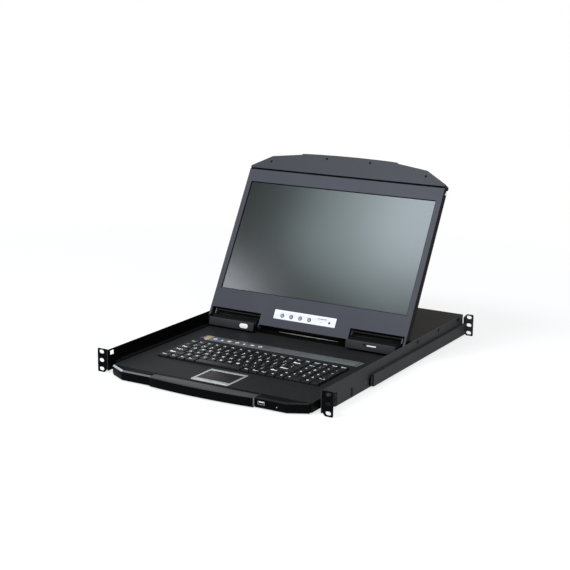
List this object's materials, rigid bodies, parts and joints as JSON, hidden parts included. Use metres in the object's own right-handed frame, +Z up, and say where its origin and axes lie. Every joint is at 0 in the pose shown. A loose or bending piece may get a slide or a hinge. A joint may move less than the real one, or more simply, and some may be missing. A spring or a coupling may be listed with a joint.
{
  "type": "rackmount lcd console drawer",
  "caption": "Rack console drawer: fold-up wide LCD on its own slide carriage over a keyboard and touchpad drawer, with front and rear rack ears.",
  "frame": {"origin": "centre of the front rack-hole pattern, in the front face of the front ears", "axes": "+X to the right seen from the front, +Y from the front ears to the rear of the chassis, +Z up"},
  "size_m": [0.4826, 0.6238, 0.3502],
  "materials": {
    "black_powder_coat": "satin black powder coat",
    "zinc_steel": "zinc plated steel",
    "black_plastic": "fine textured black moulding",
    "keycap_plastic": "satin black keycap",
    "silver_plastic": "silver painted plastic",
    "white_plate": "pale control plate",
    "grey_strip": "grey printed strip",
    "dark_pad": "fine matt pad",
    "bezel_plastic": "smooth dark bezel",
    "screen": "anti-glare screen",
    "circuit_board": "solder mask green",
    "button_plastic": "pale button",
    "rubber_black": "matt rubber"
  },
  "bodies": {
    "chassis": {"chassis_pan": "black_powder_coat", "rear_panel": "black_powder_coat", "top_cover": "black_powder_coat", "front_ear_left": "black_powder_coat", "front_ear_right": "black_powder_coat", "slide_channel_left": "zinc_steel", "slide_channel_right": "zinc_steel", "rail_guides": "zinc_steel", "main_board": "circuit_board", "power_supply": "zinc_steel", "power_inlet": "black_plastic", "rear_ports": "zinc_steel", "chassis_screws": "zinc_steel"},
    "rear_bracket_left": {"rear_rail_left": "black_powder_coat"},
    "rear_bracket_right": {"rear_rail_right": "black_powder_coat"},
    "power_rocker": {"power_switch": "black_plastic"},
    "keyboard_drawer": {"keyboard_tray": "black_powder_coat", "keyboard_deck": "black_powder_coat", "front_bar_left": "black_plastic", "front_bar_right": "black_plastic", "front_handle": "black_plastic", "keyboard_slide_left": "zinc_steel", "keyboard_slide_right": "zinc_steel", "key_plate": "black_plastic", "keyboard_board": "circuit_board", "status_strip": "grey_strip", "touchpad_frame": "silver_plastic", "touchpad_surface": "dark_pad", "usb_port": "zinc_steel"},
    "touch_button_left": {"touchpad_button_left": "silver_plastic"},
    "touch_button_right": {"touchpad_button_right": "silver_plastic"},
    "lcd_carriage": {"lcd_slide_left": "zinc_steel", "lcd_slide_right": "zinc_steel", "hinge_crossbar": "black_powder_coat", "hinge_block_left": "black_plastic", "hinge_block_right": "black_plastic"},
    "lcd_module": {"lcd_back_cover": "black_powder_coat", "lcd_bezel": "bezel_plastic", "lcd_panel": "screen", "lcd_handle": "black_plastic", "hinge_arms": "zinc_steel", "lcd_boards": "circuit_board", "control_plate": "white_plate", "handle_bumpers": "rubber_black"},
    "catch_left": {"latch_left": "zinc_steel"},
    "catch_right": {"latch_right": "zinc_steel"},
    "lcd_power": {"lcd_power_button": "button_plastic"},
    "keys_function_row_body": {"keys_function_row": "keycap_plastic"},
    "keys_number_row_body": {"keys_number_row": "keycap_plastic"},
    "keys_upper_row_body": {"keys_upper_row": "keycap_plastic"},
    "keys_home_row_body": {"keys_home_row": "keycap_plastic"},
    "keys_lower_row_body": {"keys_lower_row": "keycap_plastic"},
    "keys_bottom_row_body": {"keys_bottom_row": "keycap_plastic"},
    "space_bar_body": {"space_bar": "keycap_plastic"},
    "menu_1": {"osd_button_1": "button_plastic"},
    "menu_2": {"osd_button_2": "button_plastic"},
    "menu_3": {"osd_button_3": "button_plastic"},
    "menu_4": {"osd_button_4": "button_plastic"}
  },
  "joints": [
    {"name": "lcd_carriage_slide", "type": "slide", "parent": "chassis", "child": "lcd_carriage", "axis": [0, -1, 0], "range_m": [0, 0.4]},
    {"name": "keyboard_slide", "type": "slide", "parent": "chassis", "child": "keyboard_drawer", "axis": [0, -1, 0], "range_m": [0, 0.4]},
    {"name": "lcd_tilt", "type": "hinge", "parent": "lcd_carriage", "child": "lcd_module", "pos_m": [0, 0.326, 0.0088], "axis": [1, 0, 0], "range_deg": [0, 119.6]},
    {"name": "catch_left_slide", "type": "slide", "parent": "lcd_module", "child": "catch_left", "axis": [-1, 0, 0], "range_m": [0, 0.0013]},
    {"name": "catch_right_slide", "type": "slide", "parent": "lcd_module", "child": "catch_right", "axis": [1, 0, 0], "range_m": [0, 0.0013]},
    {"name": "menu_1_press", "type": "slide", "parent": "lcd_module", "child": "menu_1", "axis": [0, 0.8695, -0.4939], "range_m": [0, 0.0008], "stiffness_N_per_m": 400, "springref_m": -0.0004},
    {"name": "menu_2_press", "type": "slide", "parent": "lcd_module", "child": "menu_2", "axis": [0, 0.8695, -0.4939], "range_m": [0, 0.0008], "stiffness_N_per_m": 400, "springref_m": -0.0004},
    {"name": "menu_3_press", "type": "slide", "parent": "lcd_module", "child": "menu_3", "axis": [0, 0.8695, -0.4939], "range_m": [0, 0.0008], "stiffness_N_per_m": 400, "springref_m": -0.0004},
    {"name": "menu_4_press", "type": "slide", "parent": "lcd_module", "child": "menu_4", "axis": [0, 0.8695, -0.4939], "range_m": [0, 0.0008], "stiffness_N_per_m": 400, "springref_m": -0.0004},
    {"name": "lcd_power_press", "type": "slide", "parent": "lcd_module", "child": "lcd_power", "axis": [0, 0.8695, -0.4939], "range_m": [0, 0.0008], "stiffness_N_per_m": 400, "springref_m": -0.0004},
    {"name": "touch_button_left_press", "type": "slide", "parent": "keyboard_drawer", "child": "touch_button_left", "axis": [0, 0, -1], "range_m": [0, 0.0008], "stiffness_N_per_m": 600, "springref_m": -0.0005},
    {"name": "touch_button_right_press", "type": "slide", "parent": "keyboard_drawer", "child": "touch_button_right", "axis": [0, 0, -1], "range_m": [0, 0.0008], "stiffness_N_per_m": 600, "springref_m": -0.0005},
    {"name": "keys_function_row_press", "type": "slide", "parent": "keyboard_drawer", "child": "keys_function_row_body", "axis": [0, 0, -1], "range_m": [0, 0.002], "stiffness_N_per_m": 2000, "springref_m": -0.001},
    {"name": "keys_number_row_press", "type": "slide", "parent": "keyboard_drawer", "child": "keys_number_row_body", "axis": [0, 0, -1], "range_m": [0, 0.002], "stiffness_N_per_m": 2000, "springref_m": -0.001},
    {"name": "keys_upper_row_press", "type": "slide", "parent": "keyboard_drawer", "child": "keys_upper_row_body", "axis": [0, 0, -1], "range_m": [0, 0.002], "stiffness_N_per_m": 2000, "springref_m": -0.001},
    {"name": "keys_home_row_press", "type": "slide", "parent": "keyboard_drawer", "child": "keys_home_row_body", "axis": [0, 0, -1], "range_m": [0, 0.002], "stiffness_N_per_m": 2000, "springref_m": -0.001},
    {"name": "keys_lower_row_press", "type": "slide", "parent": "keyboard_drawer", "child": "keys_lower_row_body", "axis": [0, 0, -1], "range_m": [0, 0.002], "stiffness_N_per_m": 2000, "springref_m": -0.001},
    {"name": "keys_bottom_row_press", "type": "slide", "parent": "keyboard_drawer", "child": "keys_bottom_row_body", "axis": [0, 0, -1], "range_m": [0, 0.002], "stiffness_N_per_m": 2000, "springref_m": -0.001},
    {"name": "space_bar_press", "type": "slide", "parent": "keyboard_drawer", "child": "space_bar_body", "axis": [0, 0, -1], "range_m": [0, 0.002], "stiffness_N_per_m": 300, "springref_m": -0.001},
    {"name": "power_rocker_tilt", "type": "hinge", "parent": "chassis", "child": "power_rocker", "pos_m": [-0.132, 0.5791, -0.0034], "axis": [1, 0, 0], "range_deg": [0, 16]},
    {"name": "rear_bracket_left_slide", "type": "slide", "parent": "chassis", "child": "rear_bracket_left", "axis": [0, 1, 0], "range_m": [0, 0.1]},
    {"name": "rear_bracket_right_slide", "type": "slide", "parent": "chassis", "child": "rear_bracket_right", "axis": [0, 1, 0], "range_m": [0, 0.1]}
  ]
}
